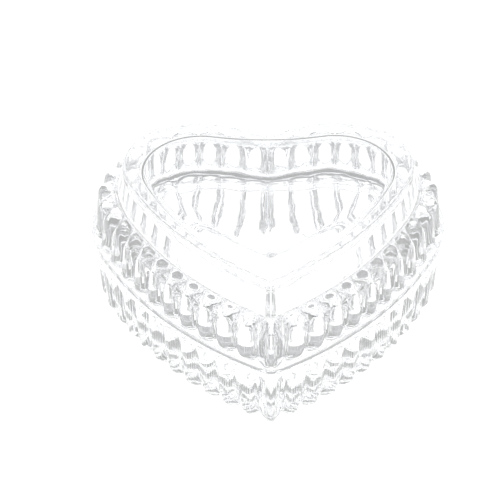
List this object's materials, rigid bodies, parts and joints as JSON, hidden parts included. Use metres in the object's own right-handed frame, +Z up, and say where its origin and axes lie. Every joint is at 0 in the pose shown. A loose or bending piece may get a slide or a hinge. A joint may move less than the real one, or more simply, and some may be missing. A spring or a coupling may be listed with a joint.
{
  "type": "heart-shaped trinket box",
  "caption": "Small heart-shaped lidded box of clear pressed glass with ribbed sides, for keeping rings and trinkets.",
  "frame": {"origin": "middle of the footprint of the bounding box, on the surface the dish stands on", "axes": "+Z up, the way the lid lifts; -Y towards the point of the heart; +X towards its right lobe"},
  "size_m": [0.09, 0.0878, 0.04],
  "materials": {
    "clear_glass": "clear, fire-polished"
  },
  "bodies": {
    "dish": {"base_dish": "clear_glass"},
    "lid": {"lid": "clear_glass"}
  },
  "joints": [
    {"name": "lid_lift", "type": "slide", "parent": "dish", "child": "lid", "axis": [0, 0, 1], "range_m": [0, 0.05]}
  ]
}
